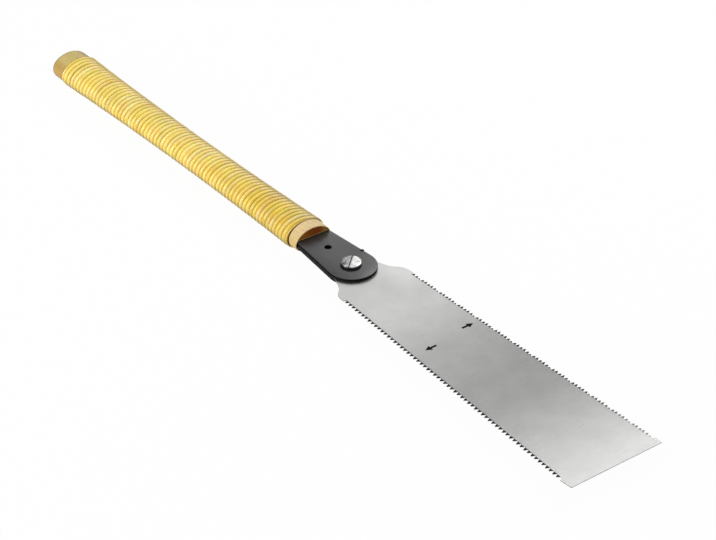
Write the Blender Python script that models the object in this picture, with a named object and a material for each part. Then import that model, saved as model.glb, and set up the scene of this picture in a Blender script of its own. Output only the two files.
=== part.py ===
"""A ryoba: a pull saw with two toothed edges, clamped in a plate holder on a cane-wrapped handle.

X runs along the saw towards the blade's tip, Y across it and Z up. The origin lies on the floor under
the middle of the saw, which rests on the two flared ends of its handle. Lengths are in metres.
"""

import math

import bmesh
import bpy
import numpy as np

MM = 0.001

# Whole saw
OVERALL_LENGTH = 642.6 * MM
TIP_X = OVERALL_LENGTH / 2
FIT_GAP = 0.3 * MM

# Blade: distances along it count from the first rip tooth
BLADE_LENGTH = 250 * MM
BLADE_THICKNESS = 0.5 * MM
HEEL_X = TIP_X - BLADE_LENGTH
SPUR_START = -4.5 * MM
SPUR_LENGTH = 2 * MM
TOOTH_LEAN = 0.35
RIP_TEETH = 63
RIP_PITCH = 3.8 * MM
RIP_DEPTH = 2.9 * MM
RIP_SLOPE = 0.041
RIP_HEEL_HALF_WIDTH = 29.3 * MM
RIP_TIP_HALF_WIDTH = 38.5 * MM
CROSSCUT_TEETH = 75
CROSSCUT_PITCH = 3.22 * MM
CROSSCUT_DEPTH = 2.6 * MM
CROSSCUT_SLOPE = 0.0335
CROSSCUT_SHIFT = 1.8 * MM
CROSSCUT_HEEL_HALF_WIDTH = 30.4 * MM
CROSSCUT_TIP_HALF_WIDTH = 38.25 * MM
RAKER_EVERY = 6
RAKER_FIRST = 2
RAKER_DEPTH = 1.4 * MM
TANG_START = -35 * MM
TANG_END = -70 * MM
TANG_START_HALF_WIDTH = 14.4 * MM
TANG_END_HALF_WIDTH = 11 * MM
SLOT_HALF_WIDTH = 3.5 * MM
# The heel's S-curve swings in from the tang to its neck and out again to the spur.
NECK = (-14 * MM, 24.7 * MM)
HOLLOW_PULLS = ((-27 * MM, 19.3 * MM), (-17.5 * MM, 20.2 * MM))
SHOULDER_PULL = (-11 * MM, 28.6 * MM)
SHOULDER_RUN = (4 * MM, 0.2 * MM)
HEEL_STEPS = 7
FORK_STEPS = 10

# Holder: two plates with a tapered capsule outline, which narrow at the mouth to a stem and a tongue
SCREW_X = HEEL_X - 32.1 * MM
PLATE_THICKNESS = 2.1 * MM
PLATE_FRONT_RADIUS = 18.1 * MM
PLATE_FRONT_X = HEEL_X - 31.1 * MM
PLATE_TAPER = math.radians(5.4)
PLATE_BEVEL = 0.3 * MM
PLATE_FRONT_STEPS = 40
STEM_HALF_WIDTH = 13 * MM
TONGUE_HALF_WIDTH = 8 * MM
TONGUE_LENGTH = 62 * MM
INDEX_HOLE_X = HEEL_X - 59.3 * MM
INDEX_HOLE_RADIUS = 2.6 * MM
STUD_X = HEEL_X - 41.5 * MM
STUD_Y = 16.85 * MM
STUD_RADIUS = 1.4 * MM
STUD_RISE = 0.12 * MM

# Clamping screw, washer and nut
SHANK_RADIUS = 3 * MM
SHANK_BELOW_NUT = 1 * MM
HEAD_RADIUS = 7.2 * MM
HEAD_HEIGHT = 1.9 * MM
HEAD_EDGE = 0.4 * MM
DRIVER_SLOT_WIDTH = 1.6 * MM
DRIVER_SLOT_DEPTH = 0.9 * MM
DRIVER_SLOT_ANGLE = math.radians(-48)
WASHER_RADIUS = 6.8 * MM
WASHER_THICKNESS = 0.5 * MM
NUT_RADIUS = 5.8 * MM
NUT_THICKNESS = 4 * MM

# Handle: an oval wooden core, waisted under the wrap and bare at the butt. It sits a little askew in the
# blade's plane, so its pieces hang on an empty at its mouth, and places along it count from there.
MOUTH_X = HEEL_X - 76.3 * MM
HANDLE_YAW = math.radians(0.9)
HANDLE_LENGTH = (MOUTH_X + TIP_X) / math.cos(HANDLE_YAW)
BUTT_AXES = (15.4 * MM, 11 * MM)
BUTT_ROUNDING = 4.5 * MM
BUTT_STEPS = 4
WAIST_STEPS = 12
OVAL_SIDES = 40
COLLAR_LENGTH = 8.9 * MM
COLLAR_SEAM = 0.9 * MM
COLLAR_STEPS = 4
# Half width, half height above the blade and half height below it
COLLAR_REAR_AXES = (14.7 * MM, 11.2 * MM, 10.8 * MM)
COLLAR_FRONT_AXES = (14.7 * MM, 10.1 * MM, 10.4 * MM)
# The collar is cut askew about a point beside its axis, and below the holder its rim runs back.
MOUTH_SKEW = 0.0565
MOUTH_PIVOT = 5.35 * MM
MOUTH_UNDERCUT = 0.2
COLLAR_RIM = 0.6 * MM
PLUG_RECESS = 0.15 * MM
PLUG_LENGTH = 5.25 * MM
PLUG_STEPS = 24
PIN_RADIUS = 1.5 * MM
PIN_DEPTH = 20 * MM
PIN_SPACING = 26 * MM

# Cane wrap: one half-round strand in a single layer of close turns. The first lie askew, like the collar.
WRAP_TURNS = 68
WRAP_PITCH = 4.21 * MM
WRAP_SQUARE = 45 * MM
WRAP_POINTS = 10
CANE_WIDTH = 3.55 * MM
CANE_THICKNESS = 1.5 * MM
CANE_FLANK = 0.5 * MM
CANE_CROWN = 1.7 * MM
WAIST = -154 * MM
WAIST_AXES = (14.5 * MM, 10.6 * MM)
FLARE = (2.45 * MM, 1.75 * MM)
FLARE_REACH = 150 * MM
CORE_RELIEF = 2.3 * MM

# Places along the handle that follow
COLLAR_REAR = -COLLAR_LENGTH
WRAP_FRONT = COLLAR_REAR - COLLAR_SEAM
WRAP_REAR = WRAP_FRONT - WRAP_PITCH * WRAP_TURNS - CANE_WIDTH
CORE_FRONT = -PLUG_RECESS - PLUG_LENGTH - FIT_GAP
FAR_SHOULDER_X = MOUTH_X + 0.65 * MM
NEAR_SHOULDER_X = MOUTH_X - 0.5 * MM
TONGUE_X = MOUTH_X + CORE_FRONT + FIT_GAP
TONGUE_END_X = TONGUE_X - TONGUE_LENGTH
PIN_FRONT_X = TONGUE_X - PIN_DEPTH
PIN_REAR_X = PIN_FRONT_X - PIN_SPACING
COLLAR_BORE = tuple(axis - COLLAR_RIM for axis in COLLAR_FRONT_AXES)
SPIGOT_AXES = tuple(axis - FIT_GAP for axis in COLLAR_BORE)
# A turn's corners lie this much outside the true oval, and its flats as much inside it.
POLYGON_OUT = 2 / (1 + math.cos(math.pi / WRAP_POINTS))


def wrap_axes(along):
    """Half width and half height of the wrapped handle, which is narrowest at its waist."""
    reach = (along - WAIST) / FLARE_REACH
    return tuple(waist + flare * reach**2 for waist, flare in zip(WAIST_AXES, FLARE))


# The blade lies on the handle's axis, so high that the flat under the front turn touches the floor.
AXIS_Z = wrap_axes(WRAP_FRONT)[1] * POLYGON_OUT * math.cos(math.pi / WRAP_POINTS)
PLATE_FACE = BLADE_THICKNESS / 2 + FIT_GAP
PLATE_BACK = PLATE_FACE + PLATE_THICKNESS


def clear_scene():
    for item in list(bpy.data.objects):
        bpy.data.objects.remove(item, do_unlink=True)


def material(name, colour, roughness, metallic=0.0):
    made = bpy.data.materials.new(name)
    made.use_nodes = True
    shader = made.node_tree.nodes["Principled BSDF"]
    shader.inputs["Base Color"].default_value = (*colour, 1.0)
    shader.inputs["Roughness"].default_value = roughness
    shader.inputs["Metallic"].default_value = metallic
    made.diffuse_color = (*colour, 1.0)
    return made


def add_object(name, mesh_builder, finish=None, location=(0, 0, 0), smooth=False, parent=None):
    """Turns a bmesh into a named object at its place, with outward faces."""
    bmesh.ops.recalc_face_normals(mesh_builder, faces=mesh_builder.faces)
    mesh = bpy.data.meshes.new(name)
    mesh_builder.to_mesh(mesh)
    mesh_builder.free()
    if finish:
        mesh.materials.append(finish)
    if smooth:
        mesh.shade_smooth()
        mesh.set_sharp_from_angle(angle=math.radians(40))
    item = bpy.data.objects.new(name, mesh)
    item.location = location
    item.parent = parent
    bpy.context.scene.collection.objects.link(item)
    return item


def prism(outline, bottom, top):
    """A solid between two heights, over a closed outline of (x, y) points."""
    builder = bmesh.new()
    face = builder.faces.new([builder.verts.new((x, y, bottom)) for x, y in outline])
    lifted = bmesh.ops.extrude_face_region(builder, geom=[face])["geom"]
    corners = [item for item in lifted if isinstance(item, bmesh.types.BMVert)]
    bmesh.ops.translate(builder, verts=corners, vec=(0, 0, top - bottom))
    return builder


def skin(rings, closed=False):
    """A solid over rings of points: capped at both ends, or joined back to the first ring when closed."""
    builder = bmesh.new()
    rows = [[builder.verts.new(point) for point in ring] for ring in rings]
    count = len(rows[0])
    pairs = list(zip(rows, rows[1:]))
    if closed:
        pairs.append((rows[-1], rows[0]))
    else:
        builder.faces.new(rows[0])
        builder.faces.new(list(reversed(rows[-1])))
    for first, second in pairs:
        for i in range(count):
            j = (i + 1) % count
            builder.faces.new((first[i], first[j], second[j], second[i]))
    return builder


def turned(profile, sides, closed=False):
    """A solid of revolution about Z through (radius, height) points."""
    turns = [2 * math.pi * i / sides for i in range(sides)]
    return skin([[(r * math.cos(t), r * math.sin(t), z) for t in turns] for r, z in profile], closed)


def oval(x, half_width, half_height, half_depth=None):
    """A ring of points round the handle's axis, whose lower half may be flatter than its upper one."""
    ring = []
    for i in range(OVAL_SIDES):
        turn = 2 * math.pi * i / OVAL_SIDES
        is_lower = half_depth is not None and math.sin(turn) < 0
        rise = (half_depth if is_lower else half_height) * math.sin(turn)
        ring.append((x, half_width * math.cos(turn), AXIS_Z + rise))
    return ring


def arc(centre_x, radius, start, end, steps):
    """Points on a circle about a centre on the saw's centre line."""
    turns = [start + (end - start) * i / steps for i in range(steps + 1)]
    return [(centre_x + radius * math.cos(t), radius * math.sin(t)) for t in turns]


def bezier(points, steps):
    """Points along a cubic curve, without its last."""
    a, b, c, d = (np.array(point) for point in points)
    shares = [i / steps for i in range(steps)]
    curve = [
        a * (1 - s) ** 3 + 3 * b * s * (1 - s) ** 2 + 3 * c * s**2 * (1 - s) + d * s**3
        for s in shares
    ]
    return [tuple(point) for point in curve]


def cutter(name, builder, location=(0, 0, 0)):
    tool = add_object(name, builder, location=location)
    tool.hide_render = True
    tool.display_type = "WIRE"
    return tool


def round_cutter(name, x, y, radius, sides=32):
    """A drill through everything above and below the blade."""
    reach = 4 * AXIS_Z
    return cutter(name, turned([(radius, -reach), (radius, reach)], sides), (x, y, AXIS_Z))


def cut(item, *tools):
    for tool in tools:
        step = item.modifiers.new(tool.name, "BOOLEAN")
        step.operation = "DIFFERENCE"
        step.solver = "EXACT"
        step.object = tool


def bevel(item, width):
    step = item.modifiers.new("edges", "BEVEL")
    step.width = width
    step.segments = 1
    step.limit_method = "ANGLE"
    step.angle_limit = math.radians(50)


def tooth_row(count, pitch, depth, slope, heel_half_width, shift=0.0, raker_depth=None):
    """Spur, leaning teeth and tip spur along one flared edge, as (distance along, half width)."""
    spur = SPUR_START + shift

    def on_edge(along, loss=0.0):
        return along, heel_half_width + slope * (along - spur) - loss

    start = shift - TOOTH_LEAN * pitch
    end = start + count * pitch
    row = [on_edge(spur), on_edge(spur + SPUR_LENGTH)]
    for i in range(count):
        gullet = start + i * pitch
        is_raker = raker_depth is not None and i % RAKER_EVERY == RAKER_FIRST
        row.append(on_edge(gullet, depth))
        row.append(on_edge(gullet + TOOTH_LEAN * pitch, depth - raker_depth if is_raker else 0.0))
    row.append(on_edge(end, depth))
    row.append(on_edge(end + SPUR_LENGTH))
    return row


def blade_side(row, tip_half_width):
    """One side of the blade: tang, S-shaped heel, teeth and tip corner."""
    start = (TANG_START, TANG_START_HALF_WIDTH)
    hollow = bezier((start, *HOLLOW_PULLS, NECK), HEEL_STEPS)
    spur_x, spur_y = row[0]
    run_in = (spur_x - SHOULDER_RUN[0], spur_y - SHOULDER_RUN[1])
    shoulder = bezier((NECK, SHOULDER_PULL, run_in, row[0]), HEEL_STEPS)
    return [(TANG_END, TANG_END_HALF_WIDTH)] + hollow + shoulder + row + [(BLADE_LENGTH, tip_half_width)]


def blade_outline():
    rip = tooth_row(RIP_TEETH, RIP_PITCH, RIP_DEPTH, RIP_SLOPE, RIP_HEEL_HALF_WIDTH)
    crosscut = tooth_row(
        CROSSCUT_TEETH,
        CROSSCUT_PITCH,
        CROSSCUT_DEPTH,
        CROSSCUT_SLOPE,
        CROSSCUT_HEEL_HALF_WIDTH,
        CROSSCUT_SHIFT,
        RAKER_DEPTH,
    )
    near = blade_side(rip, RIP_TIP_HALF_WIDTH)
    far = blade_side(crosscut, CROSSCUT_TIP_HALF_WIDTH)
    fork = arc(SCREW_X - HEEL_X, SLOT_HALF_WIDTH, math.pi / 2, -math.pi / 2, FORK_STEPS)
    return (
        [(x, -y) for x, y in near]
        + list(reversed(far))
        + [(TANG_END, SLOT_HALF_WIDTH)]
        + fork
        + [(TANG_END, -SLOT_HALF_WIDTH)]
    )


def make_blade():
    builder = prism(blade_outline(), -BLADE_THICKNESS / 2, BLADE_THICKNESS / 2)
    add_object("blade", builder, material("blade steel", (0.6, 0.6, 0.58), 0.3, 1.0), (HEEL_X, 0, AXIS_Z))


def plate_half_width(x):
    """Half width of the holder plates behind their round front."""
    return PLATE_FRONT_RADIUS / math.cos(PLATE_TAPER) + (x - PLATE_FRONT_X) * math.tan(PLATE_TAPER)


def plate_back(shoulder_x):
    """One side of the plates behind their round front: taper, shoulder at the mouth, stem and tongue."""
    return [
        (shoulder_x, plate_half_width(shoulder_x)),
        (shoulder_x, STEM_HALF_WIDTH),
        (TONGUE_X, STEM_HALF_WIDTH),
        (TONGUE_X, TONGUE_HALF_WIDTH),
        (TONGUE_END_X, TONGUE_HALF_WIDTH),
    ]


def plate_outline():
    turn = math.pi / 2 + PLATE_TAPER
    front = arc(PLATE_FRONT_X, PLATE_FRONT_RADIUS, -turn, turn, PLATE_FRONT_STEPS)
    near = [(x, -y) for x, y in reversed(plate_back(NEAR_SHOULDER_X))]
    return front + plate_back(FAR_SHOULDER_X) + near


def make_holder(pin_drills):
    black = material("black steel", (0.07, 0.07, 0.075), 0.45, 0.6)
    drills = [
        round_cutter("screw_hole", SCREW_X, 0, SHANK_RADIUS + FIT_GAP),
        round_cutter("index_hole", INDEX_HOLE_X, 0, INDEX_HOLE_RADIUS),
        round_cutter("stud_notch", STUD_X, STUD_Y, STUD_RADIUS + FIT_GAP),
    ]
    heights = {
        "holder_top_plate": (PLATE_FACE, PLATE_BACK),
        "holder_bottom_plate": (-PLATE_BACK, -PLATE_FACE),
    }
    for name, (bottom, top) in heights.items():
        plate = add_object(name, prism(plate_outline(), bottom, top), black, (0, 0, AXIS_Z))
        bevel(plate, PLATE_BEVEL)
        cut(plate, *drills, *pin_drills)
    inset = TONGUE_HALF_WIDTH - FIT_GAP
    shim = [
        (TONGUE_END_X, -inset),
        (TONGUE_X, -inset),
        (TONGUE_X, inset),
        (TONGUE_END_X, inset),
    ]
    builder = prism(shim, -BLADE_THICKNESS / 2, BLADE_THICKNESS / 2)
    spacer = add_object("holder_spacer", builder, material("shim steel", (0.4, 0.4, 0.4), 0.4, 1.0))
    spacer.location.z = AXIS_Z
    cut(spacer, *pin_drills)
    profile = [(STUD_RADIUS, -PLATE_BACK), (STUD_RADIUS, PLATE_BACK + STUD_RISE)]
    stud = material("stud steel", (0.05, 0.05, 0.05), 0.4, 0.6)
    add_object("edge_stud", turned(profile, 20), stud, (STUD_X, STUD_Y, AXIS_Z), smooth=True)


def make_screw():
    """Slotted screw through washer and plates into the nut. Its origin is on its axis at the blade."""
    place = (SCREW_X, 0, AXIS_Z)
    washer_bottom = PLATE_BACK + FIT_GAP
    head_bottom = washer_bottom + WASHER_THICKNESS + FIT_GAP
    head_top = head_bottom + HEAD_HEIGHT
    nut_top = -PLATE_BACK - FIT_GAP
    nut_bottom = nut_top - NUT_THICKNESS
    profile = [
        (SHANK_RADIUS, nut_bottom - SHANK_BELOW_NUT),
        (SHANK_RADIUS, head_bottom),
        (HEAD_RADIUS, head_bottom),
        (HEAD_RADIUS, head_top - HEAD_EDGE),
        (HEAD_RADIUS - HEAD_EDGE, head_top),
    ]
    nickel = material("nickel", (0.75, 0.75, 0.73), 0.22, 1.0)
    screw = add_object("clamp_screw", turned(profile, 40), nickel, place, smooth=True)
    floor = head_top - DRIVER_SLOT_DEPTH
    along, half = 2 * HEAD_RADIUS, DRIVER_SLOT_WIDTH / 2
    bar = [(-along, -half), (along, -half), (along, half), (-along, half)]
    groove = cutter("driver_slot", prism(bar, floor, head_top + DRIVER_SLOT_DEPTH), place)
    groove.rotation_euler.z = DRIVER_SLOT_ANGLE
    cut(screw, groove)

    bore = SHANK_RADIUS + FIT_GAP
    washer_top = washer_bottom + WASHER_THICKNESS
    ring = [
        (bore, washer_bottom),
        (WASHER_RADIUS, washer_bottom),
        (WASHER_RADIUS, washer_top),
        (bore, washer_top),
    ]
    dark = material("dark steel", (0.04, 0.04, 0.04), 0.5, 0.7)
    add_object("screw_washer", turned(ring, 40, closed=True), dark, place, smooth=True)

    nut = add_object("clamp_nut", turned([(NUT_RADIUS, nut_bottom), (NUT_RADIUS, nut_top)], 6), dark, place)
    cut(nut, round_cutter("nut_bore", SCREW_X, 0, bore))


def skew(y):
    """How far back the collar's cut lies at a place across it."""
    return MOUTH_SKEW * (MOUTH_PIVOT - y)


def askew(ring, share=1.0):
    """A ring along the collar's cut, with a share of the rim's run back below the holder's top."""
    top = AXIS_Z + PLATE_BACK
    return [(x - skew(y) - share * MOUTH_UNDERCUT * max(0, top - z), y, z) for x, y, z in ring]


def core_rings():
    """Rounded butt, bare end, waist under the wrap, and the spigot inside the collar."""
    rings = []
    for i in range(BUTT_STEPS + 1):
        turn = math.pi / 2 * i / BUTT_STEPS
        inset = BUTT_ROUNDING * (1 - math.sin(turn))
        x = -HANDLE_LENGTH + BUTT_ROUNDING * (1 - math.cos(turn))
        rings.append(oval(x, BUTT_AXES[0] - inset, BUTT_AXES[1] - inset))
    butt_shoulder = WRAP_REAR - FIT_GAP
    rings.append(oval(butt_shoulder, *BUTT_AXES))
    for i in range(WAIST_STEPS + 1):
        x = butt_shoulder + (COLLAR_REAR - FIT_GAP - butt_shoulder) * i / WAIST_STEPS
        rings.append(oval(x, *(axis - CORE_RELIEF for axis in wrap_axes(x))))
    rings.append(askew(rings.pop(), 0))
    rings.append(askew(oval(COLLAR_REAR - FIT_GAP, *SPIGOT_AXES), 0))
    rings.append(oval(CORE_FRONT, *SPIGOT_AXES))
    return rings


def make_core(handle, pin_drills):
    wood = material("pale wood", (0.62, 0.43, 0.22), 0.55)
    core = add_object("handle_core", skin(core_rings()), wood, smooth=True, parent=handle)
    wide = TONGUE_HALF_WIDTH + FIT_GAP
    end = TONGUE_END_X - FIT_GAP
    mouth = [(end, -wide), (MOUTH_X, -wide), (MOUTH_X, wide), (end, wide)]
    high = PLATE_BACK + FIT_GAP
    cut(core, cutter("mortise", prism(mouth, -high, high), (0, 0, AXIS_Z)), *pin_drills)


def make_pins():
    steel = material("pin steel", (0.45, 0.45, 0.45), 0.35, 1.0)
    for name, x in (("tang_pin_front", PIN_FRONT_X), ("tang_pin_rear", PIN_REAR_X)):
        reach = wrap_axes(x - MOUTH_X)[1] - CORE_RELIEF - FIT_GAP
        profile = [(PIN_RADIUS, -reach), (PIN_RADIUS, reach)]
        add_object(name, turned(profile, 20), steel, (x, 0, AXIS_Z), smooth=True)


def collar_axes(share):
    """The collar's section from its rear, at 0, to its mouth, at 1: it narrows faster towards the mouth."""
    ends = zip(COLLAR_REAR_AXES, COLLAR_FRONT_AXES)
    return [rear + (front - rear) * share**2 for rear, front in ends]


def make_collar(handle):
    rings = [askew(oval(COLLAR_REAR, *COLLAR_BORE), 0)]
    for i in range(COLLAR_STEPS + 1):
        share = i / COLLAR_STEPS
        rings.append(askew(oval(COLLAR_REAR * (1 - share), *collar_axes(share)), share))
    rings.append(askew(oval(0, *COLLAR_BORE)))
    beige = material("collar wood", (0.78, 0.6, 0.42), 0.5)
    add_object("front_collar", skin(rings, closed=True), beige, smooth=True, parent=handle)


def make_plugs(handle):
    """Brown wooden plugs that close the mouth above and below the holder."""
    brown = material("brown wood", (0.25, 0.09, 0.02), 0.5)
    half_width, half_height, half_depth = SPIGOT_AXES
    for name, reach in (("mouth_plug_top", half_height), ("mouth_plug_bottom", -half_depth)):
        start = math.asin((PLATE_BACK + FIT_GAP) / abs(reach))
        turns = [start + (math.pi - 2 * start) * i / PLUG_STEPS for i in range(PLUG_STEPS + 1)]
        section = [(half_width * math.cos(t), AXIS_Z + reach * math.sin(t)) for t in turns]
        front = askew([(-PLUG_RECESS, y, z) for y, z in section])
        back = [(-PLUG_RECESS - PLUG_LENGTH, y, z) for y, z in section]
        add_object(name, skin([front, back]), brown, smooth=True, parent=handle)


def cane_section():
    """Half-round section of the strand, as (distance along the handle, height above the strand's back)."""
    back = CANE_WIDTH / 2 - CANE_FLANK / 2
    return [
        (-back, 0),
        (back, 0),
        (CANE_WIDTH / 2, CANE_FLANK),
        (CANE_CROWN / 2, CANE_THICKNESS),
        (-CANE_CROWN / 2, CANE_THICKNESS),
        (-CANE_WIDTH / 2, CANE_FLANK),
    ]


def wrap_ring(step):
    """The strand's section at one point of its helix, kept above the floor that the end turns stand on."""
    along = WRAP_FRONT - CANE_WIDTH / 2 - WRAP_PITCH * step / WRAP_POINTS
    turn = 2 * math.pi * step / WRAP_POINTS
    half_width, half_height = (axis * POLYGON_OUT - CANE_THICKNESS for axis in wrap_axes(along))
    tilt = max(0, 1 - (WRAP_FRONT - along) / WRAP_SQUARE)
    ring = []
    for offset, rise in cane_section():
        y = (half_width + rise) * math.cos(turn)
        z = AXIS_Z + (half_height + rise) * math.sin(turn)
        ring.append((along + offset - tilt * skew(y), y, max(0, z)))
    return ring


def straight_end(ring, before):
    """The strand's end, run on straight by its own width from its last two sections."""
    last, previous = np.array(ring), np.array(before)
    run = (last - previous).mean(axis=0)
    return [tuple(point) for point in last + run * CANE_WIDTH / np.linalg.norm(run)]


def make_wrap(handle):
    """One unbroken strand, whose ten points a turn leave a flat under the handle to lie on."""
    rings = [wrap_ring(step) for step in range(WRAP_TURNS * WRAP_POINTS + 1)]
    rings.insert(0, straight_end(rings[0], rings[1]))
    rings.append(straight_end(rings[-1], rings[-2]))
    points = np.array(rings)
    spaces = points[WRAP_POINTS:, :, None] - points[:-WRAP_POINTS, None, :]
    gap = np.linalg.norm(spaces, axis=-1).min()
    print(f"cane_wrap: {WRAP_TURNS} turns, least gap to itself {gap / MM:.2f} mm")
    cane = material("cane", (0.72, 0.5, 0.14), 0.35)
    add_object("cane_wrap", skin(rings), cane, parent=handle)


def main():
    clear_scene()
    pin_drills = [
        round_cutter("pin_drill_front", PIN_FRONT_X, 0, PIN_RADIUS + FIT_GAP, 20),
        round_cutter("pin_drill_rear", PIN_REAR_X, 0, PIN_RADIUS + FIT_GAP, 20),
    ]
    make_blade()
    make_holder(pin_drills)
    make_screw()
    make_pins()
    handle = bpy.data.objects.new("handle_mouth", None)
    handle.location.x = MOUTH_X
    handle.rotation_euler.z = HANDLE_YAW
    bpy.context.scene.collection.objects.link(handle)
    make_core(handle, pin_drills)
    make_collar(handle)
    make_plugs(handle)
    make_wrap(handle)


main()
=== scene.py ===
"""Looks of a ryoba, a pull saw with two toothed edges: camera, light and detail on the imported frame.

X runs along the saw towards the blade's tip, Y across it and Z up, in metres, as in the frame. Pieces of
the blade are built from its first tooth, pieces of the handle from its mouth, and the screw from its axis.
"""

from math import asin, copysign, cos, degrees, pi, radians, sin, sqrt, tan

import bmesh
import bpy
import numpy as np
from mathutils import Matrix, Quaternion, Vector


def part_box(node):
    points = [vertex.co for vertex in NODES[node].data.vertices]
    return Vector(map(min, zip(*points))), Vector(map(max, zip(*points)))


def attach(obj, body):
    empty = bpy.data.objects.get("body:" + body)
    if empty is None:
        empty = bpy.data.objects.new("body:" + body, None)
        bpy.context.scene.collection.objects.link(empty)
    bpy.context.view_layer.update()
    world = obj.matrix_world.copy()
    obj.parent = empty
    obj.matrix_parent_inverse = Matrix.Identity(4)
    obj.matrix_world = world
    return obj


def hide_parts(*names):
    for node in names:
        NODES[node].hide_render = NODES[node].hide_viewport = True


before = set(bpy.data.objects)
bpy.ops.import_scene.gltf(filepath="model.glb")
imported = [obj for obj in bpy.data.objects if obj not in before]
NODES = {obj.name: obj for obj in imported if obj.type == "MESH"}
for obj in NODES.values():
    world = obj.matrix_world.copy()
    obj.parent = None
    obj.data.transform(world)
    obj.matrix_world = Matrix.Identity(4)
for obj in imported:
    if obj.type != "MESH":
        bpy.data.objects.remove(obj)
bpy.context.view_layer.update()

MM = 0.001
SEED = 7

# Whole saw: the blade's tip and height come from the frame
BLADE_LENGTH = 250 * MM
BLADE_LOW, BLADE_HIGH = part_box("blade")
TIP_X = BLADE_HIGH[0]
HEEL_X = TIP_X - BLADE_LENGTH
AXIS_Z = (BLADE_LOW[2] + BLADE_HIGH[2]) / 2
FIT_GAP = 0.3 * MM

# Camera, at the photograph's angle
AIM = Vector((HEEL_X - 26.55 * MM, 1.76 * MM, AXIS_Z))
AZIMUTH = radians(52.922)
ELEVATION = radians(34.468)
ROLL = radians(-0.25)
DISTANCE = 2.1008
FOCAL_MM = 150.68
SENSOR_MM = 36.0

# Room: what is seen of it is graded from grey to white along a direction, and its light is even
ROOM_DIRECTION = (0.6, 0.8, 0.0)
ROOM_GRADE = {"From Min": -0.32, "From Max": -0.06, "To Min": 0.5, "To Max": 1.0}
ROOM_LIGHT = 0.38
FLOOR_SIZE = 12.0
FLOOR_DROP = 0.05 * MM
FLOOR_COLOUR = (0.9, 0.9, 0.9, 1.0)
FLOOR_GLOW = 0.97

# How finely round shapes are drawn
HOLE_SIDES = 64
SCREW_SIDES = 96
OVAL_SIDES = 96
STUD_SIDES = 32
NUT_SIDES = 6
RIM_STEPS = 4
SMOOTH_BELOW = radians(38)

# Blade: distances along it count from the first rip tooth
HALF_THICKNESS = 0.25 * MM
SPUR_START = -4.5 * MM
SPUR_LENGTH = 2 * MM
TOOTH_LEAN = 0.35
TOOTH_LAND = 0.2 * MM
TOOTH_SET = 0.14 * MM
ROOT_INSET = 0.5 * MM
GULLET_FLOOR = 0.35 * MM
RIP = {
    "count": 63,
    "pitch": 3.8 * MM,
    "depth": 2.9 * MM,
    "slope": 0.041,
    "shift": 0.0,
    "heel_half_width": 29.3 * MM,
    "tip_half_width": 38.5 * MM,
    "fleam": 0.0,
    "rakers": False,
    "hardened": (2.1 * MM, 2.8 * MM),
}
CROSSCUT = {
    "count": 75,
    "pitch": 3.22 * MM,
    "depth": 2.6 * MM,
    "slope": 0.0335,
    "shift": 1.8 * MM,
    "heel_half_width": 30.4 * MM,
    "tip_half_width": 38.25 * MM,
    "fleam": 0.35 * MM,
    "rakers": True,
    "hardened": (2.2 * MM, 2.7 * MM),
}
RAKER_EVERY = 6
RAKER_FIRST = 2
RAKER_DEPTH = 1.4 * MM
HARDENED_FADE = 0.6 * MM
HARDENED_RAGGED = 0.6 * MM
TANG_START = (-35 * MM, 14.4 * MM)
TANG_END = (-70 * MM, 11 * MM)
SLOT_HALF_WIDTH = 3.5 * MM
NECK = (-14 * MM, 24.7 * MM)
HOLLOW_PULLS = ((-27 * MM, 19.3 * MM), (-17.5 * MM, 20.2 * MM))
SHOULDER_PULL = (-11 * MM, 28.6 * MM)
SHOULDER_RUN = (4 * MM, 0.2 * MM)
HEEL_STEPS = 16
FORK_STEPS = 20

# Arrows printed on the blade: each starts at a place along and across it, and points to one side
ARROW_LENGTH = 9.6 * MM
ARROW_HEAD = 4.8 * MM
ARROW_SHAFT_HALF_WIDTH = 0.9 * MM
ARROW_HEAD_HALF_WIDTH = 2.6 * MM
INK_THICKNESS = 0.02 * MM
ARROWS = {"arrow_crosscut": (72.7 * MM, 15.5 * MM, 1), "arrow_rip": (77.6 * MM, -10.8 * MM, -1)}

# Holder
SCREW_X = HEEL_X - 32.1 * MM
PLATE_THICKNESS = 2.1 * MM
PLATE_FACE = HALF_THICKNESS + FIT_GAP
PLATE_BACK = PLATE_FACE + PLATE_THICKNESS
PLATE_FRONT_RADIUS = 18.1 * MM
PLATE_FRONT_X = HEEL_X - 31.1 * MM
PLATE_TAPER = radians(5.4)
PLATE_ROUNDING = 0.3 * MM
PLATE_FRONT_STEPS = 96
STEM_HALF_WIDTH = 13 * MM
TONGUE_HALF_WIDTH = 8 * MM
TONGUE_LENGTH = 62 * MM
INDEX_HOLE_X = HEEL_X - 59.3 * MM
INDEX_HOLE_RADIUS = 2.6 * MM
INDEX_HOLE_EDGE = 0.25 * MM
DRILL_REACH = 10 * MM
STUD_X = HEEL_X - 41.5 * MM
STUD_Y = 16.85 * MM
STUD_RADIUS = 1.4 * MM
STUD_RISE = 0.12 * MM
STUD_CHAMFER = 0.3 * MM
# The stud's domed top: shares of its radius, and how far they lie below its middle
STUD_DOME = ((1.0, 0.3 * MM), (0.8, 0.06 * MM), (0.35, 0.0))

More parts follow.
